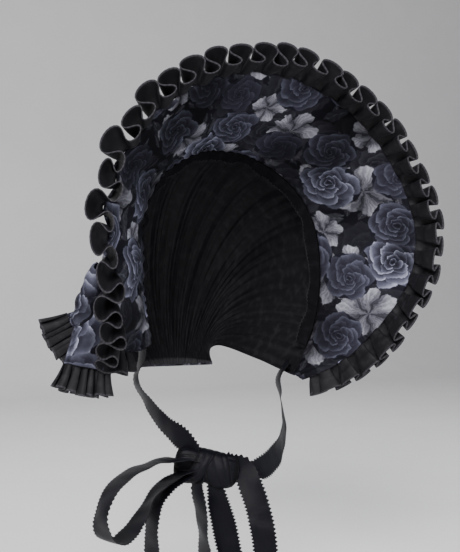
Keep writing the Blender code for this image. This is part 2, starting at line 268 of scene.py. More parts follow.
def dress(piece, slot, *nodes):
    """The piece rides on the one body and stands for its solids, which it hides. Its slot is not
    used.
    """
    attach(piece, "root")
    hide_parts(*nodes)
    print(f"{piece.name}: {len(piece.data.vertices)} points, stands for {', '.join(nodes)}")
    return piece


# %% [markdown]
# ## Shader helpers
#
# A material is a small network of nodes. A wire stands for one node's output, and + - * / and **
# between wires place Math nodes, so that a formula reads as it would on paper.


# %% Wires
def wire(socket, value):
    """Link a wire to the socket, or set a plain value on it."""
    if isinstance(value, Wire):
        socket.id_data.links.new(value.socket, socket)
    else:
        socket.default_value = value


def placed(kind, values, **settings):
    """A node's outputs as wires. Its settings go by name, and its first inputs take the values."""
    made = next(value.tree for value in values if isinstance(value, Wire)).nodes.new(kind)
    for key, value in settings.items():
        setattr(made, key, value)
    for socket, value in zip(made.inputs, values):
        wire(socket, value)
    return [Wire(output) for output in made.outputs]


def formula(operation, order=1):
    """A Math node as a function of its values, which are read backwards where the order is -1."""
    return lambda *values: placed("ShaderNodeMath", values[::order], operation=operation)[0]


class Wire:
    """One output socket, with the arithmetic that places Math nodes behind it."""

    def __init__(self, socket):
        """Keep the socket and the tree that it is in."""
        self.socket, self.tree = socket, socket.id_data

    __add__, __radd__ = formula("ADD"), formula("ADD", -1)
    __sub__, __rsub__ = formula("SUBTRACT"), formula("SUBTRACT", -1)
    __mul__, __truediv__ = formula("MULTIPLY"), formula("DIVIDE")
    __pow__, __abs__ = formula("POWER"), formula("ABSOLUTE")


sine, fraction, arctan2 = formula("SINE"), formula("FRACT"), formula("ARCTAN2")
print("a wire can:", [word.strip("_") for word in vars(Wire) if callable(vars(Wire)[word])])


# %% Nodes
def node(tree, kind, settings=(), **inputs):
    """A node's outputs as wires by name. Its settings and its inputs go by name too."""
    made = tree.nodes.new(kind)
    for key, value in dict(settings).items():
        setattr(made, key, value)
    for key, value in inputs.items():
        wire(made.inputs[key], value)
    return {output.name: Wire(output) for output in made.outputs}


def use(tree, name, **inputs):
    """A node group placed in a material, with its inputs by name."""
    return node(tree, "ShaderNodeGroup", {"node_tree": bpy.data.node_groups[name]}, **inputs)


def vectors(operation, *values):
    """The result of a Vector Math node, whose second output is for lengths."""
    return placed("ShaderNodeVectorMath", values, operation=operation)[operation == "LENGTH"]


def parts_of(vector):
    """A vector's X, Y and Z."""
    return node(vector.tree, "ShaderNodeSeparateXYZ", Vector=vector)


def noise(place, scale, detail):
    """A Noise Texture read at a place."""
    return node(place.tree, "ShaderNodeTexNoise", Vector=place, Scale=scale, Detail=detail)


print("node helpers:", [helper.__name__ for helper in (node, use, vectors, parts_of, noise)])


# %% Colours and groups
def blend(share, first, second):
    """Two colours mixed by a share."""
    made = share.tree.nodes.new("ShaderNodeMix")
    made.data_type = "RGBA"
    for place, value in ((0, share), (6, first), (7, second)):
        wire(made.inputs[place], value)
    return Wire(made.outputs[2])


def fade(value, low, high):
    """0 below low and 1 above high, with a soft step between. low may be above high."""
    ends = (high, low, 1.0, 0.0) if low > high else (low, high, 0.0, 1.0)
    return placed("ShaderNodeMapRange", (value, *ends), interpolation_type="SMOOTHSTEP")[0]


def ramp(value, stops):
    """Colours at places between 0 and 1."""
    made = value.tree.nodes.new("ShaderNodeValToRGB")
    wire(made.inputs[0], value)
    band = made.color_ramp
    while len(band.elements) < len(stops):
        band.elements.new(0.5)
    for element, (place, colour) in zip(band.elements, stops):
        element.position = place
        element.color = (*colour, 1.0)
    return Wire(made.outputs[0])


def group(name, inputs, outputs):
    """An empty node group: its tree, its inputs as wires, and the sockets of its outputs."""
    tree = bpy.data.node_groups.new(name, "ShaderNodeTree")
    for title, kind, value in inputs:
        socket = tree.interface.new_socket(title, in_out="INPUT", socket_type=kind)
        if value is not None:
            socket.default_value = value
    for title, kind in outputs:
        tree.interface.new_socket(title, in_out="OUTPUT", socket_type=kind)
    given = tree.nodes.new("NodeGroupInput").outputs
    given = {output.name: Wire(output) for output in given if output.name}
    return tree, given, tree.nodes.new("NodeGroupOutput").inputs


print("colour helpers:", [helper.__name__ for helper in (blend, fade, ramp, group)])


# %% [markdown]
# ## The weave
#
# Close up, cotton shows crossing threads about 0.4 mm apart with small slubs. Two waves at right
# angles give the threads, and a noise makes them uneven. The group gives a height for the bump and
# a shade that varies with the slubs.

# %% Node group: weave
FLOAT, VECTOR = "NodeSocketFloat", "NodeSocketVector"
FULL_TURN = 6.283

tree, given, result = group(
    "weave",
    (("Vector", VECTOR, None), ("Threads", FLOAT, 2600.0), ("Rib", FLOAT, 1.0)),
    (("Height", FLOAT), ("Shade", FLOAT)),
)
place = parts_of(given["Vector"])
slub = noise(given["Vector"], 420.0, 2.0)["Fac"]
warp, weft = (sine(place[axis] * (given["Threads"] * FULL_TURN) + slub * 5.0) for axis in "XY")
wire(result["Height"], (warp * given["Rib"] + weft) * 0.25 + slub)
wire(result["Shade"], slub * 0.36 + 0.82)
print("weave group:", len(tree.nodes), "nodes")

# %% [markdown]
# ## The flower print
#
# The cloth is black cotton printed in greys and pale blues. A print repeats a few kinds of motif,
# scattered so that the ground shows between them. Here each motif is one cell of a Voronoi texture:
# the cell's own position is taken from the place on the cloth, and what is left is a small flat
# picture with the motif in its middle. Its radius and angle draw the petals. The flowers are plain
# ones of this lesson's own: a full bloom, an open flower of five petals, and leaves with a midrib.

# %% Helpers for motifs
MOTIF_INPUTS = (("Vector", VECTOR, None), ("Shift", FLOAT, 0.0))
MOTIF_OUTPUTS = (("Light", FLOAT), ("Mask", FLOAT))
# One row is a motif's spacing in metres, how far it is scattered, and the shift of its cells.
CELLS = {
    "full_bloom": (0.047, 0.80, 0.013),
    "open_flower": (0.044, 0.85, 0.031),
    "leaves": (0.023, 0.95, 0.047),
}


def motif(place, size, scatter, shift):
    """One motif per cell: the place from the cell's middle in metres, and three random numbers."""
    moved = vectors("ADD", place, (shift, shift * 0.7, 0.0))
    settings = {"voronoi_dimensions": "2D", "feature": "F1"}
    inputs = {"Vector": moved, "Scale": 1.0 / size, "Randomness": scatter}
    cell = node(place.tree, "ShaderNodeTexVoronoi", settings, **inputs)
    chance = node(place.tree, "ShaderNodeSeparateColor", Color=cell["Color"])
    return vectors("SUBTRACT", moved, cell["Position"]), chance


def polar(local, radius):
    """The distance from the middle in radii, and the angle."""
    parts = parts_of(local)
    return vectors("LENGTH", local) / radius, arctan2(parts["Y"], parts["X"])


def waves_of(angle, count, phase):
    """A sine round the middle, with that many crests."""
    return sine(angle * count + phase)


def painted_place(place, scale, size, detail=4.0):
    """The place moved a little by a noise, so that no outline is ruled."""
    wander = vectors("SUBTRACT", noise(place, scale, detail)["Color"], (0.5, 0.5, 0.5))
    return vectors("ADD", place, vectors("MULTIPLY", wander, (size, size, 0.0)))


def shifted_place(given, axis):
    """The group's place, moved along one axis by its shift."""
    shift = node(given["Shift"].tree, "ShaderNodeCombineXYZ", **{axis: given["Shift"]})
    return vectors("ADD", given["Vector"], shift["Vector"])


print("motifs:", list(CELLS), "give:", [title for title, kind in MOTIF_OUTPUTS])

# %% [markdown]
# A full bloom is drawn as a painter would: the outer ring of petals first, then smaller rings over
# it. Within a ring, the place across one petal bends its rim and puts one side in shadow, and the
# light grows from the petal's foot to its rim, so that each ring stands off the one below.

# %% Node group: full bloom
# One row is a ring of petals: how many, how far it is turned, and its reach in radii.
BLOOM_RINGS = (
    (5, 0.0, 1.0),
    (5, 0.43, 0.80),
    (4, 0.17, 0.60),
    (4, 0.71, 0.43),
    (3, 0.29, 0.27),
    (2, 0.55, 0.13),
)


def petal_ring(under, distance, angle, count, turn, reach):
    """Petals round the middle: rim = reach x (0.74 + 0.26 arch), light = (distance / rim)^3.4."""
    place = fraction(angle * (count / 6.2832) + turn)
    bend = sine(place * pi) ** 0.6
    near = distance / ((bend * 0.26 + 0.74) * reach)
    light = near**3.4 * (place * 0.62 + 0.38)
    return under + fade(near, 1.0, 0.95) * (light - under)


tree, given, result = group("full_bloom", (*MOTIF_INPUTS, ("Size", FLOAT, 1.0)), MOTIF_OUTPUTS)
painted = painted_place(shifted_place(given, "X"), 75.0, 0.0085)
painted = painted_place(painted, 420.0, 0.0022)
local, chance = motif(painted, *CELLS["full_bloom"])
distance, angle = polar(local, (chance["Red"] * 0.0095 + 0.0185) * given["Size"])
light = 0.0
for count, turn, reach in BLOOM_RINGS:
    light = petal_ring(light, distance, angle, count, chance["Green"] + turn, reach)
wire(result["Light"], light * (chance["Red"] * 0.70 + 0.30) + 0.03)
wire(result["Mask"], fade(distance, 0.98, 0.93) * fade(chance["Blue"], 0.06, 0.08))
print("full bloom group:", len(tree.nodes), "nodes")

# %% Node group: open flower of five broad petals
tree, given, result = group("open_flower", MOTIF_INPUTS, MOTIF_OUTPUTS)
painted = painted_place(shifted_place(given, "Y"), 150.0, 0.010)
local, chance = motif(painted, *CELLS["open_flower"])
distance, angle = polar(local, chance["Green"] * 0.009 + 0.013)
crest = abs(waves_of(angle, 2.5, chance["Red"] * FULL_TURN))
veins = waves_of(angle, 31.0, distance * 5.0)
reach = distance - crest**0.6 * 0.45
wire(result["Light"], crest * 0.42 + veins * 0.07 + fade(distance, 0.1, 1.1) * 0.36 + 0.08)
wire(result["Mask"], fade(reach, 0.66, 0.58) * fade(chance["Blue"], 0.20, 0.22))
print("open flower group:", len(tree.nodes), "nodes")

# %% Node group: leaves and stems
LEAF_LENGTH, LEAF_WIDTH = 0.0125, 0.0050

tree, given, result = group("leaves", MOTIF_INPUTS, MOTIF_OUTPUTS)
painted = painted_place(shifted_place(given, "X"), 120.0, 0.006, 3.0)
local, chance = motif(painted, *CELLS["leaves"])
settings = {"rotation_type": "Z_AXIS"}
heading = chance["Red"] * FULL_TURN
turned_place = node(tree, "ShaderNodeVectorRotate", settings, Vector=local, Angle=heading)
parts = parts_of(turned_place["Vector"])
length, side = parts["X"] / LEAF_LENGTH, abs(parts["Y"]) / LEAF_WIDTH
inside = 1.0 - abs(length) ** 1.7 - side
ribs = sine(length * 16.0 - side * 6.0)
light = ribs * 0.06 + fade(side, 0.16, 0.05) * 0.22 + 0.16
wire(result["Light"], light + chance["Green"] * 0.14)
wire(result["Mask"], fade(inside, 0.0, 0.08) * fade(chance["Blue"], 0.12, 0.14))
print("leaves group:", len(tree.nodes), "nodes")

# %% [markdown]
# ## The cloths
#
# Cotton scatters light softly, so it is rough, with a little sheen from its fibres at grazing
# angles. Satin ribbon has long floats of thread: it is smoother, and its gleam is broken by fine
# streaks along the ribbon, whose lighter colour is a painted sheen.


# %% A base for every cloth
def new_cloth(name, sheen, specular):
    """A material with a Principled shader. Values that are the same all over sit on its sockets."""
    made = bpy.data.materials.new(name)
    made.use_nodes = True
    shader = made.node_tree.nodes["Principled BSDF"]
    shader.inputs["Sheen Weight"].default_value = sheen
    shader.inputs["Sheen Roughness"].default_value = 0.5
    shader.inputs["Sheen Tint"].default_value = (0.62, 0.64, 0.72, 1.0)
    shader.inputs["Specular IOR Level"].default_value = specular
    return made, made.node_tree, shader


def uv(tree, title="cloth"):
    """The piece's own map of that name."""
    return node(tree, "ShaderNodeUVMap", {"uv_map": title})["UV"]


def bumped(shader, height, strength, distance):
    """Small relief: the height feeds a Bump node that feeds the shader's normal."""
    inputs = {"Strength": strength, "Distance": distance, "Height": height}
    wire(shader.inputs["Normal"], node(height.tree, "ShaderNodeBump", **inputs)["Normal"])


# %% [markdown]
# The print is laid down motif over motif, as a printer does it: sprigs, leaves, blooms that sink
# into the ground, open flowers, and the bright full blooms last. A broad noise then brightens some
# areas and dims others: partly a random tone, partly painted light and shade.

# %% Printed cloth
GROUND = (0.0062, 0.0062, 0.0088, 1.0)
BLOOM_STOPS = (
    (0.00, (0.006, 0.006, 0.009)),
    (0.22, (0.022, 0.022, 0.032)),
    (0.45, (0.068, 0.070, 0.098)),
    (0.72, (0.190, 0.195, 0.260)),
    (1.00, (0.500, 0.510, 0.610)),
)
PALE_STOPS = (
    (0.00, (0.0055, 0.0055, 0.0078)),
    (0.30, (0.030, 0.030, 0.038)),
    (0.60, (0.095, 0.094, 0.112)),
    (1.00, (0.300, 0.300, 0.345)),
)
LEAF_STOPS = (
    (0.00, (0.008, 0.008, 0.011)),
    (0.40, (0.034, 0.035, 0.044)),
    (1.00, (0.130, 0.132, 0.155)),
)
# One row is a motif, how much smaller it is drawn, its own shift, its strength and its colours.
PRINT_LAYERS = (
    ("leaves", 1.9, 0.3, 1.0, PALE_STOPS, {}),
    ("leaves", 1.0, 0.0, 1.0, LEAF_STOPS, {}),
    ("full_bloom", 1.0, 0.113, 0.34, PALE_STOPS, {"Size": 1.15}),
    ("open_flower", 1.0, 0.0, 1.0, PALE_STOPS, {}),
    ("full_bloom", 1.0, 0.0, 1.0, BLOOM_STOPS, {"Size": 0.92}),
)
# Each noise has a scale and a detail: one for wear, and a broad one for random tone and painted
# light and shade.
WEAR, BROAD_TONE_AND_LIGHT = (38.0, 5.0), (13.0, 1.0)


def print_cloth(name, shift, light_offset=0.0):
    """Motifs over the ground, times a tone. Its broad noise, partly painted light and shade, is
    moved by the last argument in metres.
    """
    made, tree, shader = new_cloth(name, 0.01, 0.05)
    place = uv(tree)
    colour = GROUND
    for kind, closer, step, strength, stops, inputs in PRINT_LAYERS:
        there = vectors("MULTIPLY", place, (closer, closer, closer))
        drawn = use(tree, kind, Vector=there, Shift=shift + step, **inputs)
        colour = blend(drawn["Mask"], colour, ramp(drawn["Light"] * strength, stops))
    weave = use(tree, "weave", Vector=place, Threads=2600.0, Rib=1.0)
    worn = noise(place, *WEAR)["Fac"]
    # painted light and shade, partly random tone: a broad noise brightens some areas and dims
    # others
    there = vectors("ADD", place, (light_offset, 0.6 * light_offset, 0.0))
    tone_and_painted_light = fade(noise(there, *BROAD_TONE_AND_LIGHT)["Fac"], 0.36, 0.64)
    shaded = vectors("SCALE", colour)
    tone = weave["Shade"] * (worn * 0.42 + 0.78) * (tone_and_painted_light * 1.05 + 0.42)
    wire(shaded.socket.node.inputs["Scale"], tone)
    wire(shader.inputs["Base Color"], shaded)
    wire(shader.inputs["Roughness"], worn * 0.18 + 0.78)
    bumped(shader, weave["Height"], 0.35, 0.00008)
    return made


brim_print = print_cloth("brim_print", 0.13, 0.35)
crown_print = print_cloth("crown_print", 0.37)
bow_print = print_cloth("bow_print", 0.215, 0.8)
tail_print = print_cloth("bow_tail_print", 0.61, 0.8)
print("printed cloths:", [m.name for m in (brim_print, crown_print, bow_print, tail_print)])

# %% [markdown]
# The frill is plain black cotton. Its free edge is a narrow rolled hem that catches the light, so a
# band at the far end of the share map is a little greyer, with small stitches. Folds rub and turn
# dusty, which a noise gives. The allowance lies in shade behind the seam, so its colours are
# painted deeper as shade, and it is more matte.

# %% Black cotton with a hem
INK, BLACK, DUSTY = (0.0035, 0.0033, 0.0042), (0.0062, 0.0059, 0.0076), (0.0142, 0.0135, 0.0160)
HEM, HEM_STITCH = (0.019, 0.018, 0.022), (0.038, 0.0365, 0.042)


def black_cotton(name, hem, in_shade=False):
    """Soft black cloth. hem is the share of the width, from the free edge, that is rolled."""
    sheen, specular, rough = (0.01, 0.05, 0.85) if in_shade else (0.02, 0.15, 0.58)
    # painted shade: cloth in shade behind the seam takes the two deeper colours
    low, high = (INK, BLACK) if in_shade else (BLACK, DUSTY)
    made, tree, shader = new_cloth(name, sheen, specular)
    shader.inputs["Roughness"].default_value = rough
    place = uv(tree)
    weave = use(tree, "weave", Vector=place, Threads=2900.0, Rib=0.8)
    rubbed = blend(fade(noise(place, 160.0, 6.0)["Fac"], 0.45, 0.72), (*low, 1.0), (*high, 1.0))
    rolled = fade(parts_of(uv(tree, "share"))["Y"], 1.0 - hem, 1.0 - 0.6 * hem)
    stitch = abs(sine(parts_of(place)["X"] * 1700.0))
    edge = blend(stitch, (*HEM, 1.0), (*HEM_STITCH, 1.0))
    wire(shader.inputs["Base Color"], blend(rolled, rubbed, edge))
    bumped(shader, weave["Height"] * 0.5 + rolled * (stitch + 0.8), 0.45, 0.00012)
    return made


frill_cotton = black_cotton("frill_cotton", 0.07)
trim_cotton = black_cotton("trim_cotton", 0.08)
lining_cotton = black_cotton("lining_cotton", 0.02)
turned_cotton = black_cotton("turned_cotton", 0.04, in_shade=True)
print("cottons:", [m.name for m in (frill_cotton, trim_cotton, lining_cotton, turned_cotton)])


# %% Satin ribbon
def satin(name):
    """Black satin: fine streaks, lighter as painted sheen, run along it; the woven edge is a little
    duller.
    """
    made, tree, shader = new_cloth(name, 0.01, 0.09)
    place = uv(tree)
    weave = use(tree, "weave", Vector=place, Threads=1900.0, Rib=2.2)
    streak = noise(vectors("MULTIPLY", place, (90.0, 900.0, 1.0)), 1.0, 4.0)["Fac"]
    middle = abs(parts_of(uv(tree, "share"))["Y"] - 0.5)
    selvedge, loops = fade(middle, 0.38, 0.44), fade(middle, 0.470, 0.492)
    # painted sheen: the face colour is lighter along the streaks
    face = blend(streak, (0.0024, 0.0024, 0.0038, 1.0), (0.0066, 0.0066, 0.0100, 1.0))
    edged = blend(selvedge, face, (0.0022, 0.0022, 0.0032, 1.0))
    wire(shader.inputs["Base Color"], blend(loops, edged, (0.0150, 0.0150, 0.0190, 1.0)))
    wire(shader.inputs["Roughness"], streak * 0.16 + selvedge * 0.25 + 0.30)
    bumped(shader, weave["Height"] + selvedge, 0.4, 0.00010)
    return made


ribbon_satin = satin("ribbon_satin")
print("satin:", ribbon_satin.name)

# %% [markdown]
# ## The camera
#
# The portrait looks from 31 degrees to the wearer's right, 121 mm below the top of the head, from
# just over half a metre. The camera comes early, because everything after it is judged through it.

# %% Camera
FOCAL_PIXELS = 773.0
IMAGE_HEIGHT = 552.0
SENSOR_HEIGHT = 24.0
EYE = np.array([-290.0, -502.3, 0.0])
AIM = np.array([11.7, -6.7, 27.8])


def stand(thing, place, target):
    """Put a camera or a lamp at a place, turned to look at the target, all in metres."""
    thing.location = place
    thing.rotation_euler = Vector(np.subtract(target, place)).to_track_quat("-Z", "Y").to_euler()
    bpy.context.scene.collection.objects.link(thing)


lens = bpy.data.cameras.new("portrait")
lens.sensor_fit = "VERTICAL"
lens.sensor_height = SENSOR_HEIGHT
lens.lens = lens.sensor_height * FOCAL_PIXELS / IMAGE_HEIGHT
lens.clip_start = 0.01
camera = bpy.data.objects.new("portrait", lens)
stand(camera, (EYE - HEAD_SEAT) * MM, (AIM - HEAD_SEAT) * MM)
bpy.context.scene.camera = camera
print("camera lens in mm:", round(lens.lens, 2))

# %% [markdown]
# ## The brim
#
# A bonnet's brim is two layers of printed cloth over a stiffening, cut as part of a ring. It stands
# straight across from the crown seam to the edge, with soft ripples, and small puckers where it is
# sewn. A flat ring keeps the print undistorted, so its map is polar: each place on the brim goes to
# the place that it had on the flat cloth.

# %% Brim
BRIM_WALL = 2.0
BRIM_BELLY = 2.5
BRIM_RIPPLE = 3.2
BRIM_RIPPLES = 13
BRIM_TOP_RIPPLE = 0.35
BRIM_WIDTH = 75.0
# Puckers at the edge, one for each flute of the frill, and finer gathers at the seam: how many,
# how high, and how fast they fade towards the middle.
FLUTES = 37
PUCKERS = (FLUTES, 0.75, 7)
GATHERS = (48, 0.60, 8)


def edge_wave(shares):
    """How far the sewn edge wanders towards the face: a slow wave, larger near the right corner."""
    near_right = np.exp(-(((shares - 0.20) / 0.13) ** 2))
    return (0.5 + 1.9 * near_right) * ripples(21, shares, 1.1 * ripples(5, shares))


def ring_map(grid):
    """The flat ring: radius r0 + run across, angle = mean run along it / mean radius, in metres."""
    across = np.linalg.norm(grid[-1] - grid[0], axis=1)
    inner_run, outer_run = running(steps_of(grid[0])), running(steps_of(grid[-1]))
    radius = np.mean(across) * inner_run[-1] / (outer_run[-1] - inner_run[-1])
    angle = (inner_run + outer_run) / (2 * radius + np.mean(across))
    reach = radius + np.linspace(0, 1, len(grid))[:, None] * across[None, :]
    return np.stack([reach * np.sin(angle), reach * np.cos(angle)], axis=2) * MM


def brim_grid(shares, acrosses):
    """Seam to edge in a straight line, plus a lift: belly, ripples, and puckers at both seams."""
    seam, edge = arch_lines(shares)
    _, out, inner = edge_frame(shares)
    width = np.linalg.norm(edge - seam, axis=1) / BRIM_WIDTH
    fade_in = BRIM_TOP_RIPPLE + (1 - BRIM_TOP_RIPPLE) * np.abs(2 * shares - 1)
    rows = []
    for across in acrosses:
        wave = ripples(BRIM_RIPPLES, shares, 2.0 * across)
        lift = (BRIM_BELLY + BRIM_RIPPLE * wave * fade_in) * np.sin(pi * across) * width
        lift = lift + edge_wave(shares) * across**2
        for (count, height, fading), away, seed, slow in (
            (PUCKERS, 1 - across, 4, 6),
            (GATHERS, across, 3, 9),
        ):
            folds = ripples(count, shares, drift(shares, seed, slow, 2.0))
            lift = lift + height * np.exp(-away * fading) * folds
        lift = lift + drift(shares + 0.11 * across, 5, 17, 0.9) * np.sin(pi * across)
        rows.append(seam + (edge - seam) * across + out * 0.3 * across + inner * lift[:, None])
    return np.array(rows)


brim_points = brim_grid(np.linspace(0, 1, 561), np.linspace(0, 1, 37))
brim = cloth("brim_cloth", brim_points, BRIM_WALL, [brim_print], ring_map(brim_points))
dress(brim, "rose_print_cloth", "brim")
spans = np.linalg.norm(brim_points[-1] - brim_points[0], axis=1)
print(f"brim: {spans.min():.0f} to {spans.max():.0f} mm across, {spans.mean():.0f} mm on the whole")

# %% [markdown]
# ## The frill
#
# The frill is one long strip of black cotton, pushed up into round flutes and sewn to the brim's
# edge. Seen from its end, cloth in folds follows a curve whose direction swings evenly from side to
# side along its length. With a swing past a right angle each fold closes to a loop. Those on the
# outer side take more of the cloth than those on the face side, and no two are quite alike, so each
# flute gets its own depth and lean from a seed.

# %% Frill tables
FRILL_WALL = 0.55
FRILL_STOPS = (0.02, 0.99)
# One row is a share of the edge, then there the frill's reach in mm and its tuck in degrees.
FRILL_ROWS = (
    (0.00, 11, 15),
    (0.07, 19, 15),
    (0.16, 20, 16),
    (0.30, 20, 2),
    (0.50, 20, 4),
    (0.62, 20, 10),
    (0.70, 20, 19),
    (0.78, 20, 25),
    (0.92, 20, 23),
    (1.00, 13, 20),
)
# How full the flutes are and how far their folds lean, at shares of the edge.
FLATTEN = ((0.0, 0.52, 0.68, 0.86, 1.0), (1.0, 1.0, 0.76, 0.40, 0.38))
TILT = ((0.0, 0.45, 0.65, 1.0), (0.6, 0.8, 1.2, 0.8))
# Towards the wearer's left end the larger loops change over to the face side.
CHANGE_OVER = ((0.60, 0.80), (0.0, 1.0))
LOOP_SHARES = (0.20, -0.10)
FOLD_SWING = 2.08
FLUTE_STEPS = 26
print("flutes:", FLUTES, "with points along the strip:", FLUTES * FLUTE_STEPS + 1)


# %% Frill
def per_flute(count, seed, size):
    """A random value for each flute, joined smoothly along the strip by a cosine blend."""
    values = np.random.default_rng(seed).uniform(-size, size, FLUTES + 2)
    place = count * FLUTES
    low = np.floor(place).astype(int)
    mix = 0.5 - 0.5 * np.cos(pi * (place - low))
    return values[low] * (1 - mix) + values[low + 1] * mix


def fold_outline(swing, share):
    """One fold: direction = swing x cos 2 pi w along the cloth, w = u - share x cos(2 pi u) / 2 pi.

    Returns u, how far the cloth runs ahead of an even advance, and its depth from -1 to 1."""
    u = np.linspace(0, 1, 1201)
    direction = swing * np.cos(2 * pi * (u - share / (2 * pi) * np.cos(2 * pi * u)))
    ahead = running(np.cos(direction[:-1]) + np.cos(direction[1:]))
    depth = running(np.sin(direction[:-1]) + np.sin(direction[1:]))
    depth = 2 * (depth - depth.min()) / np.ptp(depth) - 1
    return u, ahead / ahead[-1] - u, depth


def frill_grid():
    """Base on the brim's edge + the reach out + a fold whose outline opens with the reach."""
    count = np.linspace(0, 1, FLUTES * FLUTE_STEPS + 1)
    shares = FRILL_STOPS[0] + (FRILL_STOPS[1] - FRILL_STOPS[0]) * count
    pitch = edge_length * (FRILL_STOPS[1] - FRILL_STOPS[0]) / FLUTES
    marks, lengths, tucks = np.transpose(FRILL_ROWS)
    length = np.interp(shares, marks, lengths) * (1 + per_flute(count, 11, 0.05))
    tuck = np.radians(np.interp(shares, marks, tucks)) + per_flute(count, 12, 0.10)
    flatten, tilt, change = (np.interp(shares, *row) for row in (FLATTEN, TILT, CHANGE_OVER))
    tangent, out, inner = edge_frame(shares)
    base = arch_lines(shares)[1] + inner * edge_wave(shares)[:, None] - out * 0.2
    turns = (FLUTES * count + per_flute(count, 13, 0.05)) % 1
    lap, turn = np.zeros(len(shares)), np.zeros(len(shares))
    for share, weight in zip(LOOP_SHARES, (1 - change, change)):
        u, ahead, deep = fold_outline(FOLD_SWING, share)
        lap += weight * np.interp(turns, u, ahead)
        turn += weight * np.interp(turns, u, deep)
    rows = []
    for reach in np.linspace(0, 1, 15):
        open_up = reach**0.6
        depth = (0.8 + 6.6 * open_up * flatten) * (1 + per_flute(count, 14, 0.14))
        aim = turned(out, tangent, tuck * min(2 * reach, 1))
        side = np.cross(tangent, aim)
        fold = side * (depth * turn - 0.6 * reach)[:, None]
        shift = tangent * (lap * pitch * open_up - per_flute(count, 15, 1.0) * reach)[:, None]
        curl = aim * (length * reach - tilt * reach**2 * turn)[:, None]
        rows.append(base + curl + fold + shift)
    return np.array(rows)


frill_points = frill_grid()
frill = cloth("frill", frill_points, FRILL_WALL, [frill_cotton])
dress(frill, "black_frill_cloth", "edge_frill")

# %% [markdown]
# ## The crown
#
# The crown is a soft bag: its front edge is gathered over the brim's seam and its lower edge is
# drawn up at the nape. Each line of cloth from the seam to the nape is a Bezier curve of third
# degree. Broad gathers run the whole way, and fine ones fade out within a few centimetres of each
# seam, as real gathering does. Inside it is lined in plain black.

# %% Crown
CROWN_WALL = 1.2
CROWN_LAP = 1.5


def crown_grid(shares, backs):
    """Bezier from seam to nape: broad gathers times sin, fine gathers that decay from each end."""
    seam = arch_lines(shares)[0]
    _, out, inner = edge_frame(shares)
    start = seam + out * CROWN_LAP - inner * 2.1
    flat = np.zeros(len(shares))
    nape = np.stack([38.0 * (2 * shares - 1), 66.0 + flat, -42.0 + flat], axis=1)
    over = seam * (1.08, 1.0, 1.0) + (0.0, 70.0, 10.0)
    behind = np.stack([0.80 * seam[:, 0], 108.0 + flat, 0.42 * seam[:, 2] + 6.0], axis=1)
    broad = np.cos(2 * pi * 11 * shares) * np.sin(pi * shares)
    fine = ripples(52, shares, drift(shares, 21, 7, 2.4))
    crease = np.abs(ripples(23, shares, drift(shares, 22, 5, 1.8)))
    rows = []
    for back in backs:
        line = (1 - back) ** 3 * start + 3 * back * (1 - back) ** 2 * over
        line = line + 3 * back**2 * (1 - back) * behind + back**3 * nape
        outward = unit(line - np.array([0.0, 20.0, 20.0]))
        away = min(back * 30, 1)
        lift = 1.8 * np.sin(pi * back) * broad
        decay = 1.3 * np.exp(-back * 4.5) + 0.9 * np.exp(-(1 - back) * 6)
        lift = lift + away * decay * (fine + 1)
        lift = lift - 0.9 * np.sin(pi * back) ** 0.7 * (1 - crease) ** 2
        lift = lift + drift(shares + 0.3 * back, 23, 6, 0.8) * np.sin(pi * back)
        rows.append(line + outward * lift[:, None])
    return np.array(rows)


crown_points = crown_grid(np.linspace(0, 1, 421), np.linspace(0, 1, 61) ** 1.1)
crown = cloth("crown_cloth", crown_points, CROWN_WALL, [crown_print, lining_cotton])
dress(crown, "rose_print_cloth", "crown")

# %% [markdown]
# ## The turned seam allowance
#
# Behind the seam the raw edges of brim and lining are turned in. They were cut with pinking shears,
# so the edge is a row of small teeth, and the band lies in loose uneven waves.

# %% Seam allowance
ALLOWANCE_WALL = 0.7
ALLOWANCE_STOPS = (0.06, 0.94)
LEAN = radians(52)
TOOTH = 3.0
TOOTH_HEIGHT = 1.3


def allowance_grid():
    """A band that leans in and back, whose width is a drift plus a triangle wave of teeth."""
    shares = np.linspace(*ALLOWANCE_STOPS, 1201)
    seam = arch_lines(shares)[0]
    inward = np.array([0.0, 0.0, 30.0]) - seam
    inward[:, 1] = 0.0
    inward = unit(inward)
    backward = np.array([0.0, 1.0, 0.0])
    lean = inward * cos(LEAN) + backward * sin(LEAN)
    across = unit(np.cross(np.gradient(seam, axis=0), lean))
    tooth = np.abs((running(steps_of(seam)) / TOOTH) % 1 - 0.5) * 2
    width = 8.2 + drift(shares, 31, 7, 1.9)
    rows = []
    for part in np.linspace(0, 1, 11):
        wave = drift(shares, 32, 15, 1.7) * part**1.5
        reach = width * part + TOOTH_HEIGHT * tooth * max(0, part - 0.8) / 0.2
        start = seam + inward * 0.9 + backward * 0.6
        rows.append(start + lean * reach[:, None] + across * wave[:, None])
    return np.array(rows)


allowance_points = allowance_grid()
allowance = cloth("seam_allowance_band", allowance_points, ALLOWANCE_WALL, [turned_cotton])
dress(allowance, "black_lining_cloth", "seam_allowance")

# %% [markdown]
# ## The satin ties
#
# The ties are one width of black satin ribbon with picot edges: a row of tiny loops that shows as
# small teeth, about two millimetres apart. A ribbon is a middle line, a width and the compass
# heading of that width, all read from a short table, and the teeth are a wave on its two edges.

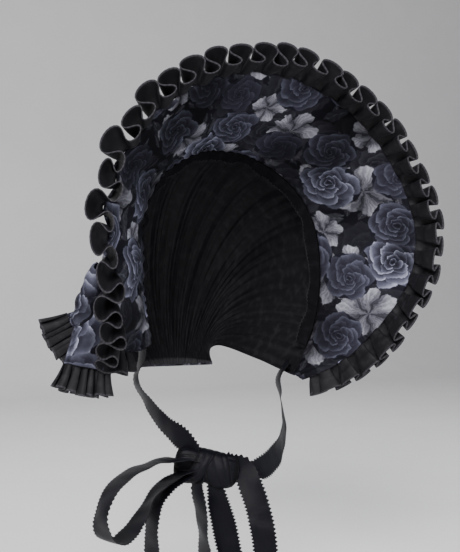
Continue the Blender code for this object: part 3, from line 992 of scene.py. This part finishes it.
# %% Ribbon tables
# One row is a place on the middle line, then the width in mm and its heading in degrees.
STRAP_RIGHT = (
    (-62.9, -12.9, -13.7, 13, 84),
    (-60.5, -7, -30, 15, 80),
    (-64, -4.5, -46, 16, 80),
    (-58.5, -13, -62, 16, 90),
    (-51, -23, -75.5, 16, 106),
    (-43, -38, -86.5, 15, 120),
    (-37, -45, -97, 13, 124),
)
STRAP_LEFT = (
    (60.6, -13.6, -36.2, 13, 74),
    (54, -9, -50, 15, 66),
    (56, -9, -64, 16, 60),
    (51, -21, -86, 16, 46),
    (36, -34, -101, 16, 30),
    (15, -44, -109, 15, 12),
    (-9.5, -49.6, -109.8, 13, -5),
    (-22, -51, -107, 12, -10),
)
TIE_LOOP_RIGHT = (
    (-38, -48, -99, 10, 104),
    (-48, -49.8, -96.1, 11, 100),
    (-72, -61, -93, 13, 88),
    (-88, -67, -94, 15, 82),
    (-103, -73, -98, 16, 84),
    (-115, -79, -106, 16, 92),
    (-120, -81, -118, 16, 100),
    (-116, -79, -130, 16, 104),
    (-108, -76, -134, 16, 104),
    (-98, -71, -131, 16, 100),
    (-89, -67, -124, 15, 90),
    (-80, -62, -115, 13, 88),
    (-50.8, -49.2, -104.5, 10, 100),
    (-40, -48, -103, 9, 100),
)
TIE_TAIL_RIGHT = (
    (-40, -47, -105, 9, 130),
    (-49.7, -48.6, -108.6, 10, 128),
    (-65, -52, -113, 13, 118),
    (-73, -53, -121, 16, 104),
    (-75, -54, -135, 16, 98),
    (-74, -53, -153, 16, 100),
    (-72, -52, -180, 16, 102),
)
TIE_TAIL_LEFT = (
    (-37, -48, -105, 10, 102),
    (-38.4, -46.7, -114.8, 11, 100),
    (-38, -51, -128, 15, 92),
    (-37, -52, -142, 16, 88),
    (-35, -52, -159, 16, 90),
    (-32, -50, -182, 16, 92),
)
TIE_LOOP_LEFT = (
    (-21, -53.5, -101, 16, -34),
    (-11.5, -60, -104, 16, -38),
    (-8, -67, -117, 16, -40),
    (-5.5, -73, -134, 16, -42),
    (-3, -75, -153, 16, -44),
    (-2, -74, -173, 16, -42),
    (-4, -67.5, -188, 16, -38),
    (-8, -58, -192, 16, -34),
    (-10.5, -51, -182, 16, -32),
    (-14, -48.5, -162, 16, -30),
    (-19, -49, -142, 16, -28),
    (-24, -50.5, -127, 14, -28),
    (-27, -51.9, -116.2, 11, -30),
    (-28, -50, -106, 10, -30),
)
PICOT_PITCH = 2.5
PICOT_STEPS = 6
PICOT_HEIGHT = 1.4
RIBBON_WALL = 0.35
# Places across the ribbon, in widths. The teeth stand out at the first and at the last.
RIBBON_PLACES = (-0.5, -0.5, -0.42, -0.25, 0.0, 0.25, 0.42, 0.5, 0.5)
print("ribbon tables have", len(STRAP_RIGHT), "to", len(TIE_LOOP_LEFT), "rows")


# %% Ribbons
def ribbon_frame(rows, shares):
    """The middle line, the width, the way along it and the way across it."""
    read = through(rows, shares)
    heading = np.radians(read[:, 4])
    tangent = unit(np.gradient(read[:, :3], axis=0))
    level = np.stack([np.cos(heading), np.sin(heading), np.zeros(len(heading))], axis=1)
    across = unit(level - tangent * np.sum(tangent * level, axis=1, keepdims=True))
    return read[:, :3], read[:, 3:4], tangent, across


def line_length(rows):
    """The length of the smooth line through the rows, in mm."""
    points = through(rows, np.linspace(0, 1, 400))[:, :3]
    return float(np.sum(steps_of(points)))


def ribbon_rows(rows, seed, cup):
    """Middle line + across x width, edges with picot teeth, cupped by a sine and gently uneven."""
    length = line_length(rows)
    teeth = int(length / PICOT_PITCH)
    shares = np.linspace(0, 1, teeth * PICOT_STEPS + 1)
    line, width, tangent, across = ribbon_frame(rows, shares)
    face = np.cross(across, tangent)
    tooth = np.clip(1.5 * np.sin(pi * ((shares * teeth) % 1)) - 0.5, 0, 1)[:, None]
    sway = drift(shares, seed, length / 45, 0.9)[:, None]
    cup = cup + drift(shares, seed + 10, length / 30, 0.5)[:, None]
    made = []
    for number, part in enumerate(RIBBON_PLACES):
        outer = PICOT_HEIGHT * tooth * np.sign(part) * (number in (0, len(RIBBON_PLACES) - 1))
        bow = cup * (1 - 4 * part**2) + sway * part * 2
        made.append(line + across * ((width - PICOT_HEIGHT) * part + outer) + face * bow)
    return np.array(made)


def ribbon(name, node_name, rows, seed, cup=0.6):
    """A satin ribbon piece through the rows of its table."""
    piece = cloth(name, ribbon_rows(rows, seed, cup), RIBBON_WALL, [ribbon_satin])
    dress(piece, "black_satin_ribbon", node_name)


ribbon("ribbon_strap_right", "strap_right", STRAP_RIGHT, 41)
ribbon("ribbon_strap_left", "strap_left", STRAP_LEFT, 42)
ribbon("ribbon_loop_right", "tie_loop_right", TIE_LOOP_RIGHT, 43, 0.4)
ribbon("ribbon_loop_left", "tie_loop_left", TIE_LOOP_LEFT, 44, 0.4)
ribbon("ribbon_tail_right", "tie_tail_right", TIE_TAIL_RIGHT, 45)
ribbon("ribbon_tail_left", "tie_tail_left", TIE_TAIL_LEFT, 46)

# %% [markdown]
# ## The knots
#
# Where the ribbons cross, satin is pulled tight into a small cushion with creases that run from the
# middle out to both ends, and two turns of ribbon wrap over it. The cushion is a rounded bar, whose
# radius falls towards its ends, and creases are added as waves round it.


# %% Knots
WRAP_WALL = 0.5
ROUNDNESS = 0.8


def bar(centre, size, turn, shift, angle, bulge):
    """Points round a bar at each shift along it: half its size x bulge x |cos or sin|^0.8."""
    long_way, deep_way, tall_way = np.array(Euler(turn).to_matrix()).T
    points = np.array(centre, float) + shift[..., None] * long_way
    for way, whole, wave in zip((deep_way, tall_way), size[1:], (np.cos(angle), np.sin(angle))):
        reach = whole / 2 * bulge * np.sign(wave) * np.abs(wave) ** ROUNDNESS
        points = points + reach[..., None] * way
    return points


def cushion(name, centre, size, turn, creases, surface):
    """A bar whose bulge is (1 - |t|^6)^0.4 x (0.84 + 0.16 |t|), creased by waves round it."""
    t = np.linspace(-1, 1, 61)[:, None]
    angle = np.linspace(0, 2 * pi, 145)[None, :]
    taper = np.clip(1 - np.abs(t) ** 6, 0, 1) ** 0.4 * (0.84 + 0.16 * np.abs(t))
    folds = np.abs(np.sin(creases / 2 * angle + 1.1 * t)) ** 0.6 - 0.6
    crease = 1 + 0.15 * folds * (0.35 + t**2) + 0.03 * np.sin(3 * angle - 4 * t)
    points = bar(centre, size, turn, size[0] / 2 * t, angle, taper * crease)
    return cloth(name, points, None, [surface], closed=True)


def wrap(name, centre, size, turn, place, width, slant, surface):
    """One turn of cloth round the cushion: a creased ring that slants and narrows with its ends."""
    angle = np.linspace(0, 2 * pi, 181)[None, :]
    across = np.linspace(-1, 1, 31)[:, None]
    crease = 0.035 * np.abs(np.sin(4.5 * across + 0.8 * np.sin(angle + slant))) ** 0.5
    edge = 0.05 * np.abs(across) ** 6
    bulge = 1.0 + crease - edge + 0.02 * np.sin(2 * angle + 3 * across)
    gathered = 1 + 0.25 * np.sin(angle + 2 * slant)
    shift = place + width / 2 * across * gathered + slant * 6.0 * np.sin(angle)
    bulge = bulge * np.clip(1 - np.abs(shift / (size[0] / 2)) ** 6, 0.05, 1) ** 0.3
    points = bar(centre, size, turn, shift, angle, bulge)
    return cloth(name, points, WRAP_WALL, [surface], closed=True)


KNOT_CENTRE = (-32.0, -48.0, -103.0)
KNOT_SIZE = (44.0, 15.0, 23.0)
KNOT_TURN = (0.0, radians(10), radians(-30))
core = cushion("tie_knot_core", KNOT_CENTRE, KNOT_SIZE, KNOT_TURN, 8, ribbon_satin)
dress(core, "black_satin_ribbon", "tie_knot")
for name, size, place, width, slant in (
    ("tie_knot_wrap", (44.0, 16.0, 23.0), -5.0, 14.0, 0.8),
    ("tie_knot_second_turn", (44.0, 15.5, 22.5), 8.0, 14.0, -0.7),
):
    band = wrap(name, KNOT_CENTRE, size, KNOT_TURN, place, width, slant, ribbon_satin)
    dress(band, "black_satin_ribbon", "tie_knot")

BOW_KNOT_CENTRE = (-102.5, -56.7, 18.0)
BOW_KNOT_SIZE = (19.0, 11.5, 13.5)
BOW_KNOT_TURN = (0.0, radians(90), radians(40))
core = cushion("bow_knot_core", BOW_KNOT_CENTRE, BOW_KNOT_SIZE, BOW_KNOT_TURN, 8, bow_print)
dress(core, "rose_print_cloth", "side_bow_knot")

# %% [markdown]
# ## The side bow
#
# The bow is cut from printed cloth. A loop leaves the knot, rounds its end and comes back, and is
# pinched where it is tied, with a soft crease along its middle. Each tail widens as it falls, in a
# few soft folds and a rolled one near its edge, and ends in a pleated trim of black cotton.

# %% Bow loops
# One row is the start, the way out, the way across, then the length, the thickness and the width.
BOW_LOOPS = {
    "side_bow_loop_front": ((-110.9, -56.2, 18), (-22, -28, -10), (-0.33, 0.19, -0.92), 34, 13, 36),
    "side_bow_loop_back": ((-99.4, -43.2, 14.4), (-13, 24, -42), (0.50, 0.86, 0.00), 46, 20, 16),
}
LOOP_MOUTH = radians(22)
BOW_WALL = 1.0


def bow_loop(row, seed):
    """Reach = length x (half of 1 - cos)^0.75, side = half thickness x sin, with a crease along."""
    start, way, across, length, thickness, width = (np.array(value, float) for value in row)
    way = unit(way)
    side = unit(np.cross(way, across))
    across = np.cross(side, way)
    turn = np.linspace(LOOP_MOUTH, 2 * pi - LOOP_MOUTH, 121)
    reach = (0.5 - 0.5 * np.cos(turn)) ** 0.75
    widths = width * np.interp(reach, (0.0, 0.6), (0.45, 1.0))
    rows = []
    for part in np.linspace(-0.5, 0.5, 31):
        fold = drift(reach * 0.5 + part, seed, 1.6, 1.1) * np.sin(turn / 2)
        half = thickness / 2 * np.sin(turn) * (1 + reach) / 2
        narrow = 1 - 0.20 * np.exp(-((part / 0.05) ** 2)) - 0.55 * np.abs(2 * part) ** 5
        half = half * narrow + fold * (1 - 0.4 * np.abs(part))
        line = start + way * (length * reach)[:, None] + side * half[:, None]
        rows.append(line + across * (widths * part)[:, None])
    return np.array(rows)


for seed, (name, row) in enumerate(BOW_LOOPS.items(), 51):
    grid = bow_loop(row, seed)
    loop = cloth(name + "_cloth", grid, BOW_WALL, [bow_print])
    dress(loop, "rose_print_cloth", name)

# %% Bow tails and their pleated trims
BOW_TAIL_FRONT = (
    (-105.2, -51.0, 9.0, 11, -30),
    (-108, -47.5, -4, 18, -24),
    (-111, -43, -18, 25, -18),
    (-114, -42, -34, 29, -17),
)
BOW_TAIL_BACK = (
    (-93.5, -50.0, 8, 7, -30),
    (-88.5, -31, 1, 13, -30),
    (-98, -15, -5, 21, -30),
    (-109, -6, -12, 25, -30),
)
TRIM_PLEATS = 6
TRIM_WALL = 0.6


def tail_grid(rows, phase):
    """Middle line + across x width, with soft folds and a rolled one that deepen as it falls."""
    shares = np.linspace(0, 1, 61)
    line, width, tangent, across = ribbon_frame(rows, shares)
    face = np.cross(across, tangent)
    made = []
    for part in np.linspace(-0.5, 0.5, 37):
        fold = (1.1 * ripples(2.1, part, phase) - 1.2 * np.cos(2 * pi * part)) * shares**0.8
        fold = fold + 2.6 * np.exp(-(((part + 0.36) / 0.085) ** 2)) * shares**0.6
        made.append(line + across * width * part + face * fold[:, None])
    return np.array(made), face[-1], tangent[-1]


def trim_grid(ends, face, down, length, seed):
    """Pleats of uneven strength: sin p + 0.3 sin 2p. The free edge spreads, and hangs in an arc."""
    shares = np.linspace(0, 1, TRIM_PLEATS * 22 + 1)
    top = ends[0] + (ends[1] - ends[0]) * shares[:, None]
    middle = np.mean(ends, axis=0)
    uneven = shares + drift(shares, seed, 2.3, 0.06) * np.sin(pi * shares)
    strength = 1 + drift(shares, seed + 2, 5, 0.45)
    phase = 2 * pi * TRIM_PLEATS * uneven
    lean = unit(ends[1] - ends[0])
    rows = []
    for reach in np.linspace(0, 1, 17):
        wave = (np.sin(phase) + 0.3 * np.sin(2 * phase)) * (0.9 + 2.3 * reach) * strength
        lap = (0.8 + 1.6 * reach) * np.sin(2 * phase)
        fan = middle + (top - middle) * (1.0 + 0.24 * reach**1.5)
        hang = 0.90 + 0.16 * np.sin(pi * shares) + drift(shares, seed + 1, 4, 0.06)
        hang = length * reach * hang * (1 + 0.04 * np.sin(phase))
        lower = fan + down * (hang - 0.2)[:, None]
        rows.append(lower + face * wave[:, None] - lean * lap[:, None])
    return np.array(rows)


# One row is a side's table, the phase of its folds, then its trim's length and seed.
BOW_TAILS = {"front": (BOW_TAIL_FRONT, 1.0, 17.0, 77), "back": (BOW_TAIL_BACK, 2.2, 21.0, 81)}

trims = []
for side, (table, phase, length, seed) in BOW_TAILS.items():
    grid, face, down = tail_grid(table, phase)
    tail = cloth(f"bow_tail_{side}", grid, BOW_WALL, [tail_print])
    dress(tail, "rose_print_cloth", f"side_bow_tail_{side}")
    trim_points = trim_grid(grid[[0, -1], -1], face, down, length, seed)
    trim = cloth(f"bow_trim_{side}", trim_points, TRIM_WALL, [trim_cotton])
    dress(trim, "black_frill_cloth", f"side_bow_trim_{side}")
    trims.append((trim, trim_points, "gathered"))

# %% [markdown]
# ## Sheets that are sewn in place
#
# The crown, the frill, the allowance and the trims are gathered where they are sewn, and the brim
# is stretched over its stiffening. The size that each was cut to is measured on the cloth itself
# and printed. A width under 10 mm is declared as 10 mm, with the measured area.

for piece, grid, held in (
    (crown, crown_points, "gathered"),
    (frill, frill_points, "gathered"),
    (allowance, allowance_points, "gathered"),
    (brim, brim_points, "stretched"),
    *trims,
):
    width, length = cut_size(grid)
    print(f"{piece.name}: cut to {width * 1000:.0f} by {length * 1000:.0f} mm")

# %% [markdown]
# ## The room
#
# The bonnet is shown in its worn form above a plain pale floor that curves up behind it, so that no
# horizon shows. Light comes from one large soft lamp at the wearer's right and front, a weaker one
# from the other side, one above and behind, and an even pale sky.

# %% Floor and sweep
FLOOR = -0.36
FLOOR_REACH, FLOOR_END = 9.0, 1.6
BEND, WALL_TOP = 0.6, 3.2


def sweep():
    """A profile along Y in metres: flat, then a quarter circle, then straight up."""
    flat = np.linspace(-FLOOR_REACH, FLOOR_END, 20)
    turn = np.linspace(0, pi / 2, 24)[1:]
    up = np.linspace(BEND, WALL_TOP, 10)[1:]
    y = np.concatenate([flat, FLOOR_END + BEND * np.sin(turn), np.full(len(up), FLOOR_END + BEND)])
    z = np.concatenate([np.zeros(len(flat)), BEND - BEND * np.cos(turn), up]) + FLOOR
    x = np.linspace(-FLOOR_REACH, FLOOR_REACH, 12)[:, None]
    return np.stack(np.broadcast_arrays(x, y[None, :], z[None, :]), axis=2)


paper = bpy.data.materials.new("pale_paper")
paper.use_nodes = True
paper_shader = paper.node_tree.nodes["Principled BSDF"]
paper_shader.inputs["Roughness"].default_value = 0.9
grain = noise(node(paper.node_tree, "ShaderNodeTexCoord")["Object"], 9.0, 2.0)["Fac"]
paper_colour = blend(grain, (0.80, 0.80, 0.80, 1.0), (0.85, 0.85, 0.85, 1.0))
wire(paper_shader.inputs["Base Color"], paper_colour)
floor = cloth("floor_sweep", sweep() / MM + HEAD_SEAT, None, [paper])


# %% Lights and sky
def soft_lamp(name, place, size, power, tint):
    """A square area lamp at a place, turned to look at the middle, all in metres."""
    data = bpy.data.lights.new(name, "AREA")
    data.size = size
    data.energy = power
    data.color = tint
    stand(bpy.data.objects.new(name, data), place, MIDDLE)


MIDDLE = (0.0, -0.05, -0.08)
soft_lamp("key", (-1.0, -1.2, 0.75), 0.7, 46.0, (1.0, 0.985, 0.985))
soft_lamp("fill", (1.2, -1.0, 0.2), 1.2, 9.0, (0.93, 0.96, 1.0))
soft_lamp("top", (0.1, 0.6, 1.3), 1.0, 14.0, (0.98, 0.99, 1.0))

sky = bpy.data.worlds.new("soft_sky")
sky.use_nodes = True
background = sky.node_tree.nodes["Background"]
background.inputs["Color"].default_value = (0.88, 0.875, 0.915, 1.0)
background.inputs["Strength"].default_value = 0.40
bpy.context.scene.world = sky
